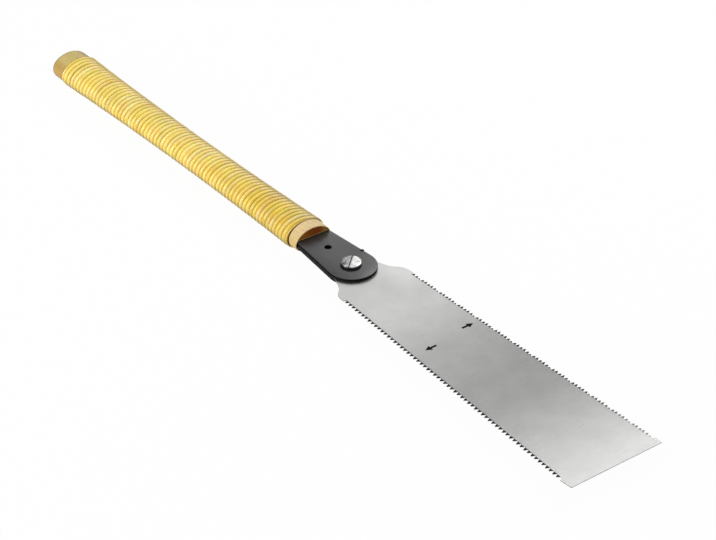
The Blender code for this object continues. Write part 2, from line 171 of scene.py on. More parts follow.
# Clamping screw, washer and nut: heights count from the blade
SHANK_RADIUS = 3 * MM
THREAD_PITCH = 1 * MM
THREAD_DEPTH = 0.5 * MM
THREAD_FLANK = 1.15
THREAD_START = 0.6 * MM
THREAD_STEPS = 8
WASHER_BOTTOM = PLATE_BACK + FIT_GAP
WASHER_THICKNESS = 0.5 * MM
WASHER_RADIUS = 6.8 * MM
WASHER_EDGE = 0.1 * MM
HEAD_BOTTOM = WASHER_BOTTOM + WASHER_THICKNESS + FIT_GAP
HEAD_HEIGHT = 1.9 * MM
HEAD_TOP = HEAD_BOTTOM + HEAD_HEIGHT
HEAD_RADIUS = 7.2 * MM
HEAD_CHAMFER = 0.25 * MM
HEAD_EDGE = 0.45 * MM
HEAD_CROWN = 0.3 * MM
CROWN_SHARES = (0.85, 0.7, 0.5, 0.3, 0.15, 0.04)
DRIVER_SLOT_WIDTH = 1.6 * MM
DRIVER_SLOT_DEPTH = 0.9 * MM
DRIVER_SLOT_ANGLE = radians(-48)
DRIVER_SLOT_MARGIN = 0.016 * MM
# A painted shadow round the screw, its middle off the axis: its radius, fade, raggedness and the shine left
# in it
SHADOW_RING_CENTRE = (SCREW_X + 1.3 * MM, -1.1 * MM, PLATE_BACK)
SHADOW_RING_RADIUS = 7.8 * MM
SHADOW_RING_FADE = 1.3 * MM
SHADOW_RING_RAGGED = 1.4 * MM
SHADOW_RING_SHINE = 0.05
NUT_RADIUS = 5.8 * MM
# Its chamfer's inner and outer radius and its height, as shares of the nut's radius
NUT_CHAMFER = (0.9, 1.05, 0.08)
NUT_TOP = -PLATE_BACK - FIT_GAP
NUT_BOTTOM = NUT_TOP - 4 * MM
SHANK_END = NUT_BOTTOM - 1 * MM

# Handle: places along it count from its mouth, and its front end is nearest zero
MOUTH_X = HEEL_X - 76.3 * MM
HANDLE_YAW = radians(0.9)
HANDLE_LENGTH = (MOUTH_X + TIP_X) / cos(HANDLE_YAW)
BUTT_AXES = (15.4 * MM, 11 * MM)
BUTT_ROUNDING = 4.5 * MM
# The butt's smooth end is set back a little, to stay inside the frame's coarser one.
BUTT_TRIM = 0.1 * MM
BUTT_STEPS = 10
CORE_STEPS = 24
# The woods' growth rings lie about a line this far beside and below the handle's axis.
RING_OFFSET = (0, 9 * MM, 16 * MM)
COLLAR_LENGTH = 8.9 * MM
COLLAR_SEAM = 0.9 * MM
# Half width, half height above the blade and half height below it
COLLAR_REAR_AXES = (14.7 * MM, 11.2 * MM, 10.8 * MM)
COLLAR_FRONT_AXES = (14.7 * MM, 10.1 * MM, 10.4 * MM)
COLLAR_RIM = 0.6 * MM
COLLAR_EDGE = 0.25 * MM
COLLAR_CHAMFER = 0.12 * MM
COLLAR_STEPS = 16
# The collar is cut askew about a point beside its axis, and below the holder its rim runs back.
MOUTH_SKEW = 0.0565
MOUTH_PIVOT = 5.35 * MM
MOUTH_UNDERCUT = 0.2
PLUG_RECESS = 0.15 * MM
PLUG_LENGTH = 5.25 * MM
PLUG_FIT = 0.08 * MM
PLUG_STEPS = 48
PLUG_EDGE = 0.35 * MM
# The rounding of the plugs' edge: shares of it behind the front and in from the side
PLUG_ROUNDING = ((0, 1), (0.3, 0.3), (1, 0))
PIN_DEPTH = 20 * MM
PIN_SPACING = 26 * MM
PIN_RADIUS = 1.5 * MM

# Cane wrap: one half-round strand in a single layer of close turns. The first lie askew, like the collar.
WRAP_TURNS = 68
WRAP_LENGTH = 289.83 * MM
WRAP_SQUARE = 45 * MM
WRAP_POINTS = 60
CANE_THICKNESS = 1.5 * MM
CANE_WIDTH = 4 * MM
CANE_FLANK = 0.3 * MM
CANE_TIP = 0.3 * MM
CANE_BACK_SHARE = 0.9
CROWN_POINTS = 11
CROWN_POWER = 1.5
# How the strand wanders: by how much, and the turns between changes
CANE_SWAY = 0.26 * MM
CANE_SWAY_TURNS = 0.8
CANE_SINK = 0.16 * MM
CANE_SINK_TURNS = 0.3
CANE_NARROWING = 0.07
CANE_NARROWING_TURNS = 1.3
# Turns between changes in how dark the painted shade in the grooves is
CANE_GROOVE_SHADE_TURNS = 0.35
WAIST = -154 * MM
WAIST_AXES = (14.5 * MM, 10.6 * MM)
FLARE = (2.45 * MM, 1.75 * MM)
FLARE_REACH = 150 * MM
CORE_RELIEF = 2.3 * MM
# The frame's wrap has ten points a turn, and its flats reach this share of the oval's height.
FLAT_SHARE = 2 * cos(pi / 10) / (1 + cos(pi / 10))

# Cane colours: straw at the butt, more golden in front, with stretches of others.
# Each stretch has a colour, a strength and the turns between changes.
STRAW = np.array([0.945, 0.695, 0.14])
GOLDEN_STRAW = np.array([0.835, 0.59, 0.076])
GOLDEN_FROM = -115 * MM
GOLDEN_RUN = 55 * MM
STRETCHES = {
    "pale": ([0.97, 0.8, 0.33], 0.8, 0.13),
    "golden": ([0.84, 0.53, 0.05], 0.7, 0.19),
    "pinkish": ([0.9, 0.6, 0.26], 0.4, 0.11),
    "greener": ([0.74, 0.62, 0.1], 0.5, 0.15),
}
STRETCH_FROM = 0.6
STRETCH_GAIN = 3
LEVEL_TURNS = 0.09
# Painted shade in the grooves, a yellowing that comes with painted shade, painted shade along the edges and
# a
# painted highlight: what each does to red, green and blue
GROOVE_SHADE_TAKES = np.array([0.86, 0.97, 1.0])
SHADE_TINT_TAKES = np.array([0.0, 0.02, 0.16])
EDGE_SHADE_TAKES = np.array([0.53, 0.52, 0.6])
HIGHLIGHT_ADDS = np.array([0.07, 0.14, 0.5])
# The turn round the handle with the least painted shade, the middle of the side the camera sees, counted
# from the blade's far edge
LEAST_SHADED_SIDE = radians(131)
# Places round the handle in degrees past the least shaded side, less than 0 on the far side: the handle's
# two edges as the camera sees them, the reach of painted shade along them, the spread of painted shade on
# the near side, and the middle and reach of a painted highlight
FAR_EDGE = -83
NEAR_EDGE = 72
EDGE_SHADE_REACH = (2, 26)
NEAR_SHADE = (10, 65)
HIGHLIGHT_PLACE = -28
HIGHLIGHT_REACH = 38

# Places along the handle and the saw that follow
WRAP_FRONT = -COLLAR_LENGTH - COLLAR_SEAM
WRAP_REAR = WRAP_FRONT - WRAP_LENGTH
WRAP_PITCH = (WRAP_LENGTH - CANE_WIDTH) / WRAP_TURNS
CORE_FRONT = -PLUG_RECESS - PLUG_LENGTH - FIT_GAP
COLLAR_BORE = tuple(axis - COLLAR_RIM for axis in COLLAR_FRONT_AXES)
FAR_SHOULDER_X = MOUTH_X + 0.65 * MM
NEAR_SHOULDER_X = MOUTH_X - 0.5 * MM
TONGUE_X = MOUTH_X + CORE_FRONT + FIT_GAP
TONGUE_END_X = TONGUE_X - TONGUE_LENGTH
PIN_PLACES = (TONGUE_X - PIN_DEPTH, TONGUE_X - PIN_DEPTH - PIN_SPACING)

ON_BLADE = Matrix.Translation((HEEL_X, 0, AXIS_Z))
ON_HANDLE = Matrix.Translation((MOUTH_X, 0, AXIS_Z)) @ Matrix.Rotation(HANDLE_YAW, 4, "Z")
ON_SCREW = Matrix.Translation((SCREW_X, 0, AXIS_Z))
ON_AXIS = Matrix.Translation((0, 0, AXIS_Z))


class Nodes:
    """A node tree, with short calls for the nodes in it."""

    def __init__(self, tree):
        self.tree = tree

    def fill(self, socket, value):
        """Links an output to a socket, or sets the socket's own value."""
        if isinstance(value, bpy.types.NodeSocket):
            self.tree.links.new(value, socket)
        else:
            socket.default_value = value

    def node(self, kind, inputs=None, **settings):
        made = self.tree.nodes.new("ShaderNode" + kind)
        for name, value in settings.items():
            setattr(made, name, value)
        for name, value in (inputs or {}).items():
            self.fill(made.inputs[name], value)
        return made

    def calc(self, operation, *values):
        return self.node("Math", dict(enumerate(values)), operation=operation).outputs[0]


def opaque(colour):
    """A colour with its alpha, or the output that gives one."""
    return colour if isinstance(colour, bpy.types.NodeSocket) else (*colour, 1.0)


class Look(Nodes):
    """A material. Colours are linear red, green and blue, and noise scales per metre along each axis."""

    def __init__(self, name, metallic=0.0):
        self.material = bpy.data.materials.new(name)
        self.material.use_nodes = True
        super().__init__(self.material.node_tree)
        self.shader = self.tree.nodes["Principled BSDF"]
        self.set(Metallic=metallic)
        self.place = self.node("TexCoord").outputs["Object"]

    def set(self, **values):
        """Sets or links the shader's sockets; a name's underscores stand for spaces."""
        for name, value in values.items():
            self.fill(self.shader.inputs[name.replace("_", " ")], value)

    def mapped(self, **inputs):
        """The place, moved, turned or scaled."""
        return self.node("Mapping", {"Vector": self.place, **inputs}).outputs[0]

    def noise(self, scale, detail=3.0, roughness=0.55):
        place = self.mapped(Scale=scale)
        inputs = {"Vector": place, "Scale": 1.0, "Detail": detail, "Roughness": roughness}
        return self.node("TexNoise", inputs).outputs["Fac"]

    def between(self, value, low, high, start=0.0, end=1.0):
        """Goes smoothly from start to end while a value goes from low to high."""
        inputs = {"Value": value, "From Min": low, "From Max": high, "To Min": start, "To Max": end}
        return self.node("MapRange", inputs, interpolation_type="SMOOTHSTEP").outputs[0]

    def ramp(self, value, stops):
        """A colour ramp over (place, colour) stops."""
        made = self.node("ValToRGB", {"Fac": value})
        ramp = made.color_ramp
        while len(ramp.elements) < len(stops):
            ramp.elements.new(1.0)
        for element, (place, colour) in zip(ramp.elements, stops):
            element.position = place
            element.color = opaque(colour)
        return made.outputs["Color"]

    def mix(self, share, first, second, kind="MIX"):
        """One colour laid over another. The mix node's colours are its sockets 6 and 7."""
        inputs = {0: share, 6: opaque(first), 7: opaque(second)}
        return self.node("Mix", inputs, data_type="RGBA", blend_type=kind).outputs[2]

    def times(self, colour, factor):
        """A colour multiplied by another, or by a value."""
        return self.mix(1.0, colour, factor, "MULTIPLY")

    def parts(self, place=None):
        """The three coordinates of a place, or of the point that is shaded."""
        return self.node("SeparateXYZ", {0: place or self.place}).outputs

    def bump(self, height, depth, strength):
        made = self.node("Bump", {"Height": height, "Distance": depth, "Strength": strength})
        self.set(Normal=made.outputs[0])


def steel_tones_and_painted_reflection(look):
    """Satin grey with a painted reflection: palest at the heel, darkest past the middle, paler again at the
    tip, and paler towards the near edge and at the heel's far corner, with random mottling.
    """
    # Painted reflection: the grey along the blade
    greys = [(0.0, 0.525), (0.16, 0.52), (0.36, 0.345), (0.55, 0.268)]
    greys += [(0.66, 0.26), (0.84, 0.335), (0.98, 0.385)]
    x, y, _ = look.parts()
    wander = look.noise((9, 22, 1), detail=2.0)
    along = look.calc("MULTIPLY_ADD", wander, 0.05, look.calc("DIVIDE", x, BLADE_LENGTH))
    tone = look.ramp(along, [(place, (grey, grey * 0.995, grey * 0.98)) for place, grey in greys])
    cloud = look.between(look.noise((60, 60, 60), detail=4.0), 0.3, 0.7, 0.96, 1.03)
    # Painted reflection: paler towards the near edge and at the heel's far corner
    slope = look.between(x, 0.0, 0.5 * BLADE_LENGTH, -1.3, -3.2)
    heel = look.between(x, -10 * MM, 25 * MM, 0.24, 0.0)
    corner = look.calc("MULTIPLY", look.between(y, 4 * MM, 24 * MM), heel)
    side_painted_light = look.calc("MULTIPLY_ADD", slope, y, look.calc("ADD", corner, 1.03))
    return look.times(tone, look.calc("MULTIPLY", cloud, side_painted_light))


def row_start(row):
    """Where a row's first gullet lies along the blade."""
    return row["shift"] - TOOTH_LEAN * row["pitch"]


def row_end(row):
    return row_start(row) + row["count"] * row["pitch"]


def hardened(look, row, side):
    """How dark a row's hardened points are: 1 out to a depth, and 0 behind another and beside the row."""
    x, y, _ = look.parts()
    reach = look.calc("SUBTRACT", x, SPUR_START + row["shift"])
    edge = look.calc("MULTIPLY_ADD", reach, row["slope"], row["heel_half_width"])
    depth = look.calc("MULTIPLY_ADD", y, -side, edge)
    noise = look.noise((700, 300, 1), detail=2.0)
    ragged = look.calc("MULTIPLY_ADD", noise, HARDENED_RAGGED, -HARDENED_RAGGED / 2)
    share = look.between(look.calc("ADD", depth, ragged), *row["hardened"], 1.0, 0.0)
    start, end = row_start(row), row_end(row)
    inside = look.between(x, start - HARDENED_FADE, start)
    ahead = look.between(x, end, end + HARDENED_FADE, 1.0, 0.0)
    return look.calc("MULTIPLY", share, look.calc("MULTIPLY", inside, ahead))


def blade_look():
    look = Look("satin blade steel", metallic=1.0)
    x, _, _ = look.parts()
    paler = look.between(x, 0.6 * BLADE_LENGTH, BLADE_LENGTH, 1.0, 0.55)
    far = look.calc("MULTIPLY", hardened(look, CROSSCUT, 1), paler)
    hard = look.calc("MAXIMUM", hardened(look, RIP, -1), far)
    grind = look.noise((3200, 60, 1), roughness=0.7)
    streaks = look.between(grind, 0.25, 0.75, 0.975, 1.02)
    steel = look.times(steel_tones_and_painted_reflection(look), streaks)
    look.set(Base_Color=look.mix(hard, steel, (0.012, 0.014, 0.02)))
    look.set(Roughness=look.between(grind, 0.2, 0.8, 0.26, 0.38))
    look.bump(grind, 0.004 * MM, 0.4)
    return look


def blade_edge_look():
    look = Look("sheared steel", metallic=1.0)
    scratches = look.noise((900, 900, 3000))
    look.set(Base_Color=look.ramp(scratches, [(0.3, (0.1, 0.1, 0.1)), (0.7, (0.28, 0.28, 0.27))]))
    look.set(Roughness=0.45)
    return look


def cane_look():
    look = Look("glossy cane")
    tint = look.node("Attribute", attribute_name="tint").outputs["Color"]
    fibre = look.noise((1500, 70, 70), detail=4.0, roughness=0.65)
    fibred = look.times(tint, look.between(fibre, 0.3, 0.72, 0.92, 1.06))
    fleck = look.between(look.noise((420, 130, 130), detail=2.0), 0.68, 0.82, 0.0, 0.35)
    look.set(Base_Color=look.mix(fleck, fibred, (0.55, 0.33, 0.06)))
    look.set(Roughness=look.between(fibre, 0.25, 0.8, 0.34, 0.5))
    look.set(Coat_Weight=0.3, Coat_Roughness=0.14)
    look.bump(fibre, 0.05 * MM, 0.5)
    return look


def wood_look(name, pale, dark, pore, ring_scale, roughness=0.5):
    """Long-grained wood with growth rings that show as arcs on its end: its look, and its colour so far."""
    look = Look(name)
    waves = {"Scale": ring_scale, "Distortion": 6.0, "Detail": 3.0, "Detail Scale": 1.4}
    waves["Vector"] = look.mapped(Location=RING_OFFSET)
    rings = look.node("TexWave", waves, wave_type="RINGS", rings_direction="X").outputs["Fac"]
    grain = look.noise((28, 420, 420), detail=5.0, roughness=0.62)
    pores = look.between(look.noise((90, 1900, 1900), detail=2.0), 0.6, 0.74)
    tone = look.calc("MULTIPLY_ADD", rings, 0.45, look.calc("MULTIPLY", grain, 0.55))
    wood = look.ramp(tone, [(0.22, dark), (0.62, pale)])
    look.set(Roughness=look.between(grain, 0.2, 0.8, roughness - 0.06, roughness + 0.1))
    look.bump(look.calc("SUBTRACT", grain, pores), 0.06 * MM, 0.35)
    return look, look.mix(look.calc("MULTIPLY", pores, 0.5), wood, pore)


def along_cut(look):
    """The place along the handle, counted from the collar's askew cut."""
    x, y, _ = look.parts()
    return look.calc("MULTIPLY_ADD", y, -MOUTH_SKEW, look.calc("ADD", x, MOUTH_SKEW * MOUTH_PIVOT))


def core_look():
    """Pale wood with a faint grain, patchy in tone. Painted shade makes it darker and more orange along the
    near side, dark olive round its end and along its outline edges, and dark brown at the seam before the
    wrap.
    """
    look, wood = wood_look(
        "pale wood",
        pale=(0.615, 0.485, 0.165),
        dark=(0.515, 0.385, 0.115),
        pore=(0.43, 0.31, 0.09),
        ring_scale=330.0,
    )
    x, y, z = look.parts()
    patch = look.noise((150, 190, 190), detail=2.0)
    pinkish = look.mix(look.between(patch, 0.5, 0.68, 0.0, 0.55), wood, (0.62, 0.43, 0.2))
    greener = look.mix(look.between(patch, 0.34, 0.5, 0.5, 0.0), pinkish, (0.53, 0.475, 0.155))
    # Painted shade: darker and more orange along the near side
    shaded_orange = look.times(greener, (0.8, 0.64, 0.45))
    side_painted_light = look.mix(look.between(y, -13.5 * MM, -9 * MM, 1.0, 0.0), greener, shaded_orange)
    # Painted shade: dark olive round the butt's end and in a band along its outline edges
    rim = look.between(x, 2.6 * MM - HANDLE_LENGTH, 5 * MM - HANDLE_LENGTH, 0.55, 0.0)
    # About 1 where the butt turns to the cane's least shaded side, and less than 0 behind
    lift = look.calc("MULTIPLY", z, sin(LEAST_SHADED_SIDE) / (10 * MM))
    facing = look.calc("MULTIPLY_ADD", y, cos(LEAST_SHADED_SIDE) / (14 * MM), lift)
    turning = look.between(facing, 0.1, 0.6, 0.65, 0.0)
    flank = look.calc("MULTIPLY", turning, look.between(facing, -0.5, -0.1))
    rim_and_edge_shaded = look.mix(look.calc("MAXIMUM", rim, flank), side_painted_light, (0.2, 0.15, 0.055))
    # Painted shade: dark brown at the seam before the wrap, deepest on the near side
    seam_shade = look.between(along_cut(look), WRAP_FRONT - 1 * MM, WRAP_FRONT)
    shaded = look.calc("MULTIPLY", seam_shade, look.between(y, -14 * MM, 2 * MM, 0.95, 0.35))
    look.set(Base_Color=look.mix(shaded, rim_and_edge_shaded, (0.15, 0.08, 0.01)))
    return look


def collar_look():
    """Pale wood with painted shade: darker and more golden on the near side, and dark at the seam before
    the wrap.
    """
    look, wood = wood_look(
        "collar wood",
        pale=(0.83, 0.63, 0.32),
        dark=(0.74, 0.53, 0.245),
        pore=(0.58, 0.38, 0.16),
        ring_scale=210.0,
    )
    _, y, _ = look.parts()
    # Painted shade: darker and more golden on the near side
    golden = look.times(wood, (0.8, 0.76, 0.56))
    side_painted_light = look.mix(look.between(y, -15 * MM, -8 * MM, 1.0, 0.0), wood, golden)
    # Painted shade: dark at the seam before the wrap, deepest on the near side
    seam_shade = look.between(along_cut(look), 0.05 * MM - COLLAR_LENGTH, 0.3 * MM - COLLAR_LENGTH, 1.0, 0.0)
    shaded = look.calc("MULTIPLY", seam_shade, look.between(y, -14 * MM, 2 * MM, 1.0, 0.3))
    look.set(Base_Color=look.mix(shaded, side_painted_light, (0.12, 0.055, 0.005)))
    return look


def plug_look():
    """Oiled brown wood, with painted shade that makes it darker and redder from the near side to the middle
    of the mouth. It turns a paler olive towards the far side and has a paler border along the plates.
    """
    look, wood = wood_look(
        "oiled brown wood",
        pale=(0.46, 0.165, 0.012),
        dark=(0.3, 0.09, 0.005),
        pore=(0.15, 0.04, 0.003),
        ring_scale=260.0,
        roughness=0.6,
    )
    _, y, z = look.parts()
    # Painted shade: darker and redder from the near side to the middle of the mouth
    red = look.mix(look.between(y, -11 * MM, 2 * MM), wood, (0.32, 0.07, 0.003))
    olive = look.mix(look.between(y, 5 * MM, 11 * MM), red, (0.46, 0.24, 0.045))
    height = look.calc("ABSOLUTE", z)
    border = look.between(height, PLATE_BACK + 0.7 * MM, PLATE_BACK + 1.1 * MM, 1.0, 0.0)
    look.set(Base_Color=look.mix(border, olive, (0.6, 0.42, 0.17)), Specular_IOR_Level=0.15)
    return look


def black_look(name, colour, roughness, specular, shadow_ring=False):
    """Black steel, whose shine a painted shadow round the screw can take away."""
    look = Look(name)
    speckle = look.noise((2200, 2200, 2200), detail=2.0)
    smear = look.noise((70, 180, 70))
    low, high = (tuple(part * level for part in colour) for level in (0.82, 1.2))
    look.set(Base_Color=look.ramp(smear, [(0.3, low), (0.7, high)]))
    look.set(Roughness=look.between(speckle, 0.3, 0.7, roughness - 0.06, roughness + 0.08))
    look.set(Specular_IOR_Level=specular)
    if shadow_ring:
        # Painted shadow: a ragged ring round the screw where the shine is taken away
        away = look.node("VectorMath", {0: look.place, 1: SHADOW_RING_CENTRE}, operation="DISTANCE")
        ragged = look.calc("MULTIPLY", look.noise((330, 330, 330), detail=2.0), SHADOW_RING_RAGGED)
        reach = look.calc("ADD", away.outputs["Value"], ragged)
        end = SHADOW_RING_RADIUS + SHADOW_RING_FADE
        look.set(Specular_IOR_Level=look.between(reach, SHADOW_RING_RADIUS, end, SHADOW_RING_SHINE, specular))
    look.bump(speckle, 0.02 * MM, 0.5)
    return look


def metal_look(name, dark, pale, roughness):
    look = Look(name, metallic=1.0)
    wear = look.noise((900, 900, 900))
    look.set(Base_Color=look.ramp(wear, [(0.3, dark), (0.7, pale)]))
    look.set(Roughness=look.between(wear, 0.3, 0.7, roughness - 0.05, roughness + 0.07))
    return look


def nickel_look():
    """Bright plate with a painted reflection, duller towards one side and brighter towards the other, with
    random tone, over lathe marks that run round the screw's axis.
    """
    look = Look("bright nickel", metallic=1.0)
    flat = look.mapped(Scale=(1, 1, 0))
    radius = look.node("VectorMath", {0: flat}, operation="LENGTH").outputs["Value"]
    waves = {"W": look.calc("MULTIPLY", radius, 5200.0), "Scale": 1.0}
    marks = look.node("TexNoise", waves, noise_dimensions="1D").outputs["Fac"]
    x, y, _ = look.parts()
    # Painted reflection: one side of the head is darker and the other brighter
    across = look.calc("MULTIPLY_ADD", x, 0.74, look.calc("MULTIPLY", y, 0.67))
    painted_half_reflection = look.between(across, -5 * MM, 3 * MM, -0.2, 0.12)
    shine = look.calc("ADD", look.noise((420, 420, 420)), painted_half_reflection)
    greys = [(0.15, 0.12), (0.32, 0.27), (0.46, 0.55), (0.64, 0.92)]
    look.set(Base_Color=look.ramp(shine, [(place, (grey, grey, grey * 0.99)) for place, grey in greys]))
    look.set(Roughness=look.between(shine, 0.2, 0.6, 0.3, 0.12))
    look.bump(marks, 0.012 * MM, 0.6)
    return look


def slot_look():
    """The driver slot's floor, with painted shade dark along one wall and painted light paler along the
    other.
    """
    look = Look("slot steel", metallic=1.0)
    _, across, _ = look.parts(look.mapped(Rotation=(0, 0, -DRIVER_SLOT_ANGLE)))
    place = look.calc("MULTIPLY_ADD", across, 1 / DRIVER_SLOT_WIDTH, 0.5)
    # Painted shade along one wall of the slot and painted light along the other
    look.set(Base_Color=look.ramp(place, [(0.3, (0.02, 0.02, 0.02)), (0.5, (0.45, 0.45, 0.44))]))
    look.set(Roughness=0.4)
    return look


def ink_look():
    look = Look("black ink")
    wear_and_highlight = look.noise((1500, 1500, 1500), detail=2.0)
    look.set(Base_Color=look.ramp(wear_and_highlight, [(0.3, (0.006, 0.006, 0.007)), (0.75, (0.02, 0.02, 0.02))]))
    look.set(Roughness=0.6, Specular_IOR_Level=0.0)
    return look


def bezier(points, steps):
    """Points along a cubic curve, without its last."""
    a, b, c, d = (np.array(point) for point in points)
    share = np.arange(steps)[:, None] / steps
    rest = 1 - share
    curve = a * rest**3 + 3 * b * share * rest**2 + 3 * c * share**2 * rest + d * share**3
    return [tuple(point) for point in curve]


def arc(centre_x, radius, start, end, steps):
    """Points on a circle about a centre on the saw's centre line."""
    turns = [start + (end - start) * i / steps for i in range(steps + 1)]
    return [(centre_x + radius * cos(t), radius * sin(t)) for t in turns]


def around(count):
    """The numbers of each point of a ring and of the next."""
    return [(i, (i + 1) % count) for i in range(count)]


def skin(rings, closed=False):
    """A solid over rings of points: capped at both ends, or joined back to the first ring when closed."""
    builder = bmesh.new()
    rows = [[builder.verts.new(point) for point in ring] for ring in rings]
    pairs = list(zip(rows, rows[1:]))
    if closed:
        pairs.append((rows[-1], rows[0]))
    else:
        builder.faces.new(rows[0])
        builder.faces.new(list(reversed(rows[-1])))
    for first, second in pairs:
        for i, j in around(len(first)):
            builder.faces.new((first[i], first[j], second[j], second[i]))
    return builder


def circle(radius, z, sides):
    turns = [2 * pi * i / sides for i in range(sides)]
    return [(radius * cos(t), radius * sin(t), z) for t in turns]


def turned(profile, sides, closed=False):
    """A solid of revolution about Z through (radius, height) points."""
    return skin([circle(radius, z, sides) for radius, z in profile], closed)


def quarter(radius, steps):
    """Points along a rounded corner: how far each lies behind one face and behind the other."""
    turns = [pi / 2 * i / steps for i in range(steps + 1)]
    return [(radius * (1 - cos(t)), radius * (1 - sin(t))) for t in turns]


def prism(outline, bottom, top):
    return skin([[(x, y, bottom) for x, y in outline], [(x, y, top) for x, y in outline]])


def oval(x, axes, inset=0.0):
    """A ring of points round the handle's axis. A third axis is for a lower half unlike the upper one."""
    half_width, *heights = (axis - inset for axis in axes)
    points = circle(1.0, 0.0, OVAL_SIDES)
    return [(x, half_width * y, heights[-1 if z < 0 else 0] * z) for y, z, _ in points]


def loose(name, builder):
    """A mesh object from a bmesh, with outward faces."""
    bmesh.ops.recalc_face_normals(builder, faces=builder.faces)
    mesh = bpy.data.meshes.new(name)
    builder.to_mesh(mesh)
    builder.free()
    item = bpy.data.objects.new(name, mesh)
    bpy.context.scene.collection.objects.link(item)
    return item


def carve(item, tools, operation="DIFFERENCE"):
    """Booleans in turn, with the result kept as the item's mesh and the tools removed."""
    for tool in tools:
        step = item.modifiers.new(tool.name, "BOOLEAN")
        step.operation = operation
        step.solver = "EXACT"
        step.object = tool
    settle(item)
    for tool in tools:
        bpy.data.objects.remove(tool, do_unlink=True)


def settle(item):
    """Keeps what the modifiers made as the item's own mesh."""
    made = bpy.data.meshes.new_from_object(item.evaluated_get(bpy.context.evaluated_depsgraph_get()))
    item.modifiers.clear()
    item.data = made


def rounded(item, width):
    step = item.modifiers.new("edges", "BEVEL")
    step.width = width
    step.segments = 2
    step.limit_method = "ANGLE"
    step.angle_limit = radians(50)
    settle(item)


def dress(item, place, body, looks, replaced=(), smooth=True):
    """Puts a piece in its place with its materials, under the empty of the body it rides on, and hides the
    frame's parts that it stands for.
    """
    for look in looks:
        item.data.materials.append(look.material)
    if smooth:
        item.data.shade_smooth()
        item.data.set_sharp_from_angle(angle=SMOOTH_BELOW)
    item.matrix_world = place
    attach(item, body)
    if replaced:
        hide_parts(*replaced)


def paint(item, choose):
    """Gives each face the material number that choose returns for it."""
    for face in item.data.polygons:
        face.material_index = choose(face)


def edge_stations(row):
    """Teeth along one edge: each station is its upper and lower point and the root behind them.

    Points are (distance along, half width, height). Crosscut teeth are bevelled, and every other tooth is
    bent up and the rest down.
    """
    pitch, depth = row["pitch"], row["depth"]
    spur = SPUR_START + row["shift"]

    def on_edge(along, loss):
        return along, row["heel_half_width"] + row["slope"] * (along - spur) - loss

    def station(along, upper_loss, lower_loss, bend):
        upper = (*on_edge(along, upper_loss), HALF_THICKNESS + bend)
        lower = (*on_edge(along, lower_loss), -HALF_THICKNESS + bend)
        return upper, lower, on_edge(along, depth + ROOT_INSET)

    stations = []
    for i in range(row["count"]):
        gullet = row_start(row) + i * pitch
        point = gullet + TOOTH_LEAN * pitch
        is_raker = row["rakers"] and i % RAKER_EVERY == RAKER_FIRST
        loss = depth - RAKER_DEPTH if is_raker else 0.0
        side = 0 if is_raker else (-1) ** i
        upper_loss = loss + (row["fleam"] if side < 0 else 0.0)
        lower_loss = loss + (row["fleam"] if side > 0 else 0.0)
        bend = side * TOOTH_SET
        stations += [
            station(gullet, depth, depth, 0),
            station(point, upper_loss, lower_loss, bend),
            station(point + TOOTH_LAND, upper_loss, lower_loss, bend),
            station(gullet + pitch - GULLET_FLOOR, depth, depth, 0),
        ]
    end = row_end(row)
    stations.append(station(end, depth, depth, 0))
    return stations, on_edge(spur, 0), on_edge(spur + SPUR_LENGTH, 0), on_edge(end + SPUR_LENGTH, 0)


def blade_side(row):
    """One side of the blade as stations: tang, S-shaped heel, spur, teeth and tip corner."""
    teeth, spur_start, spur_end, tip_spur = edge_stations(row)
    hollow = bezier((TANG_START, *HOLLOW_PULLS, NECK), HEEL_STEPS)
    run_in = (spur_start[0] - SHOULDER_RUN[0], spur_start[1] - SHOULDER_RUN[1])
    shoulder = bezier((NECK, SHOULDER_PULL, run_in, spur_start), HEEL_STEPS)
    before = [plain(point) for point in [TANG_END, *hollow, *shoulder, spur_start, spur_end]]
    return before + teeth + [plain(tip_spur), plain((BLADE_LENGTH, row["tip_half_width"]))]


def plain(point):
    """A station of the outline without a tooth."""
    return (*point, HALF_THICKNESS), (*point, -HALF_THICKNESS), None


def mirrored(station):
    return tuple(None if p is None else (p[0], -p[1], *p[2:]) for p in station)


def blade_mesh():
    near = [mirrored(s) for s in blade_side(RIP)]
    far = list(reversed(blade_side(CROSSCUT)))
    fork = arc(SCREW_X - HEEL_X, SLOT_HALF_WIDTH, pi / 2, -pi / 2, FORK_STEPS)
    slot = [(TANG_END[0], SLOT_HALF_WIDTH), *fork, (TANG_END[0], -SLOT_HALF_WIDTH)]
    stations = near + far + [plain(point) for point in slot]
    builder = bmesh.new()
    sides = []
    for layer, height in enumerate((HALF_THICKNESS, -HALF_THICKNESS)):
        outer = [builder.verts.new(s[layer]) for s in stations]
        inner = [
            vert if s[2] is None else builder.verts.new((*s[2], height))
            for s, vert in zip(stations, outer)
        ]
        builder.faces.new(inner)
        for i, j in around(len(stations)):
            corners = dict.fromkeys((outer[i], outer[j], inner[j], inner[i]))
            if len(corners) > 2:
                builder.faces.new(tuple(corners))
        sides.append(outer)
    upper, lower = sides
    for i, j in around(len(stations)):
        builder.faces.new((upper[i], upper[j], lower[j], lower[i]))
    return builder


def make_blade():
    blade = loose("saw_blade", blade_mesh())
    looks = [blade_look(), blade_edge_look()]

    def is_tip_or_back(face):
        row = CROSSCUT if face.center.y > 0 else RIP
        is_toothed = row_start(row) < face.center.x < row_end(row)
        is_upright = abs(face.normal.z) < 0.3
        return 1 if is_upright and not is_toothed else 0

    paint(blade, is_tip_or_back)
    dress(blade, ON_BLADE, "blade", looks, ["blade"], smooth=False)


